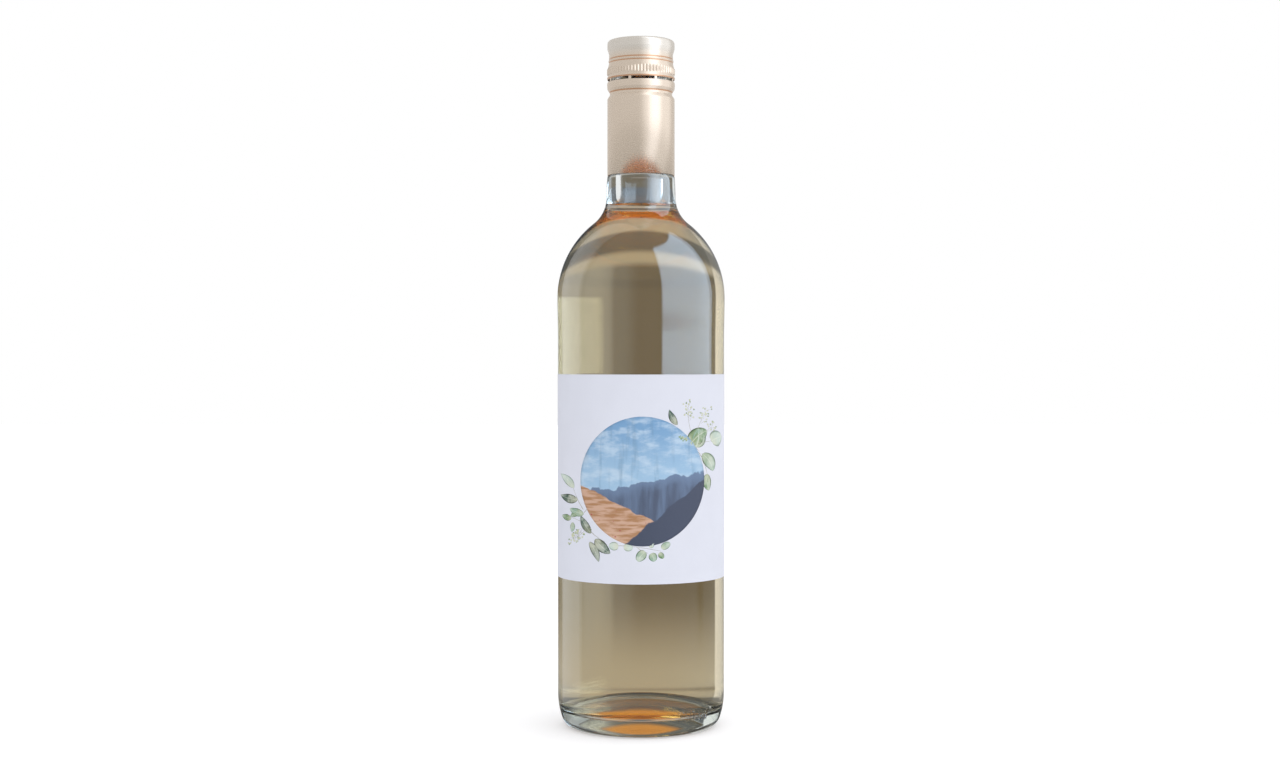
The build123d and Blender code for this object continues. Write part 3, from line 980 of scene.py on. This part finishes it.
def studio_world():
    """Studio by direction: the camera sees white, and glass and metal see panels round a dark backdrop."""
    world = bpy.data.worlds.new("studio")
    bpy.context.scene.world = world
    world.use_nodes = True
    shader = Shader(world.node_tree)
    x, y, z = shader.parts(shader.place("Generated"))
    azimuth = x.math("ARCTAN2", y) * (180 / pi)
    rise = z.math("ARCSINE") * (180 / pi)
    paths = shader.node("ShaderNodeLightPath").socket.node.outputs
    seen, glossy, crossing, mirror = (
        Value(shader, paths[name])
        for name in ("Is Camera Ray", "Is Glossy Ray", "Is Transmission Ray", "Is Singular Ray")
    )
    # Behind the bottle: dark in the middle, a bright strip to the left and a grey panel to the right.
    white_strip = azimuth.within(*WHITE_STRIP, 2.5)
    grey_panel = azimuth.within(*GREY_PANEL, 3)
    sides = abs(azimuth).step(84, 100)
    low = rise.step(-6.8, -9.8)
    rim = rise.within(-24, -13, 3)
    steep = abs(rise).step(36, 52)
    dark = shader.mix(rise.step(3, 6), (0.14, 0.118, 0.075), (0.105, 0.12, 0.135))
    back = shader.mix(grey_panel, dark, (0.36, 0.37, 0.37))
    back = shader.mix(azimuth.within(3.0, 12.5, 6) * 0.5, back, (0.24, 0.25, 0.26))
    back = shader.mix(low, back, (0.47, 0.45, 0.4))
    back = shader.mix(white_strip, back, (0.92, 0.93, 0.94))
    back = shader.mix(sides, back, (0.4, 0.41, 0.43))
    back = shader.mix(rim * 0.8, back, (0.06, 0.07, 0.08))
    amber = shader.mix(abs(azimuth).step(14, 5) * rise.step(0, -10), (0.85, 0.4, 0.09), (0.05, 0.055, 0.06))
    through = shader.mix(steep, back, amber)
    # Metal sees soft grey from the left and white from the right.
    rough = shader.mix(azimuth.within(60, 172, 24), (0.74, 0.7, 0.66), (1.2, 1.17, 1.15))
    rough = shader.mix(azimuth.within(110, 150, 14), rough, (1.9, 1.9, 1.95))
    rough = shader.mix(rise.step(-8, -40, 0, 0.4), rough, (0.45, 0.42, 0.38))
    side_light = (x * 0.75 - y * 0.35 + z * 0.45).step(-1.0, 1.0, 0.52, 1.12)
    plain = shader.node("ShaderNodeCombineColor", inputs={0: side_light, 1: side_light, 2: side_light * 1.01})
    # A large cool softbox stands in front and to the right, and shows as a mirror image only.
    softbox = azimuth.within(*SOFTBOX, 3) * rise.within(*SOFTBOX_RISE, 3) * mirror * glossy
    light = shader.mix(glossy, plain, rough)
    light = shader.mix(mirror, light, back)
    light = shader.mix(crossing, light, through)
    light = shader.mix(softbox, light, (2.45, 3.05, 3.75))
    light = shader.mix(seen, light, (1, 1, 1))
    background = shader.node("ShaderNodeBackground", inputs={"Color": light, "Strength": 1.0})
    shader.node("ShaderNodeOutputWorld", inputs={"Surface": background})


def floor_material():
    """White floor: matt with a glow that reads white, and clear to glass and metal, which see the studio."""
    made, shader = material("white_floor")
    paths = shader.node("ShaderNodeLightPath").socket.node.outputs
    crossing, glossy = Value(shader, paths["Is Transmission Ray"]), Value(shader, paths["Is Glossy Ray"])
    matt = shader.node("ShaderNodeBsdfDiffuse", inputs={"Color": (0.82, 0.82, 0.83, 1)})
    glow = shader.node("ShaderNodeEmission", inputs={"Color": (1, 1, 1, 1), "Strength": 0.42})
    lit = shader.node("ShaderNodeAddShader", inputs={0: matt, 1: glow})
    clear = shader.node("ShaderNodeBsdfTransparent")
    through = crossing.math("MAXIMUM", glossy)
    surface = shader.node("ShaderNodeMixShader", inputs={0: through, 1: lit, 2: clear})
    shader.node("ShaderNodeOutputMaterial", inputs={"Surface": surface})
    return made


def build_stage():
    """Floor, studio and a level camera in front of the label."""
    half = FLOOR_HALF
    corners = np.array([(-half, -half, 0), (half, -half, 0), (half, half, 0), (-half, half, 0)])
    floor = make_mesh("studio_floor", corners, np.array([[0, 1, 2, 3]]))
    floor.data.materials.append(floor_material())
    studio_world()
    camera = bpy.data.cameras.new("camera")
    camera.lens, camera.sensor_width = CAMERA_LENS, 36
    camera.shift_x, camera.shift_y = CAMERA_SHIFT
    camera.clip_start, camera.clip_end = 0.01, 50
    holder = bpy.data.objects.new("camera", camera)
    holder.location = CAMERA_PLACE
    holder.rotation_euler = (pi / 2, 0, 0)
    scene = bpy.context.scene
    scene.collection.objects.link(holder)
    scene.camera = holder
    scene.view_settings.view_transform = "Standard"
    scene.cycles.max_bounces = 24
    scene.cycles.transmission_bounces = 20
    scene.cycles.glossy_bounces = 8


# ---------------------------------------------------------------- operators and panel


class BuildOperator(bpy.types.Operator):
    """Base of the operators below."""

    bl_options = {"REGISTER", "UNDO"}

    def execute(self, context):
        self.build(context.scene.bottle_sizes, context.scene.bottle_colours)
        return {"FINISHED"}


class BOTTLE_OT_glass(BuildOperator):
    """Build the glass"""

    bl_idname = "bottle.glass"
    bl_label = "Glass"

    def build(self, sizes, colours):
        build_glass(sizes, colours)


class BOTTLE_OT_wine(BuildOperator):
    """Build the wine"""

    bl_idname = "bottle.wine"
    bl_label = "Wine"

    def build(self, sizes, colours):
        build_wine(sizes, colours)


class BOTTLE_OT_closure(BuildOperator):
    """Build the screw closure"""

    bl_idname = "bottle.closure"
    bl_label = "Closure"

    def build(self, sizes, colours):
        build_closure(sizes, colours)


class BOTTLE_OT_label(BuildOperator):
    """Build the label and its print"""

    bl_idname = "bottle.label"
    bl_label = "Label"

    def build(self, sizes, colours):
        build_label(sizes, colours)
        build_picture(sizes, colours)
        build_sprigs(sizes)


class BOTTLE_OT_volume_mark(BuildOperator):
    """Build the volume moulded on the heel"""

    bl_idname = "bottle.volume_mark"
    bl_label = "Volume Mark"

    def build(self, sizes, colours):
        build_volume_mark(sizes, colours)


class BOTTLE_OT_stage(BuildOperator):
    """Build the floor, studio and camera"""

    bl_idname = "bottle.stage"
    bl_label = "Stage"

    def build(self, sizes, colours):
        build_stage()


OPERATORS = (
    BOTTLE_OT_stage,
    BOTTLE_OT_glass,
    BOTTLE_OT_wine,
    BOTTLE_OT_closure,
    BOTTLE_OT_label,
    BOTTLE_OT_volume_mark,
)


class BOTTLE_PT_panel(bpy.types.Panel):
    """Lists the operators"""

    bl_label = "White Wine Bottle"
    bl_space_type = "VIEW_3D"
    bl_region_type = "UI"
    bl_category = "Bottle"

    def draw(self, context):
        for operator in OPERATORS:
            self.layout.operator(operator.bl_idname)


CLASSES = (BottleSizes, BottleColours, *OPERATORS, BOTTLE_PT_panel)


def register():
    for cls in CLASSES:
        bpy.utils.register_class(cls)
    bpy.types.Scene.bottle_sizes = PointerProperty(type=BottleSizes)
    bpy.types.Scene.bottle_colours = PointerProperty(type=BottleColours)


def unregister():
    del bpy.types.Scene.bottle_colours
    del bpy.types.Scene.bottle_sizes
    for cls in reversed(CLASSES):
        bpy.utils.unregister_class(cls)


def main():
    """Builds everything in order."""
    register()
    for operator in OPERATORS:
        group, name = operator.bl_idname.split(".")
        getattr(getattr(bpy.ops, group), name)()


if __name__ == "__main__":
    main()
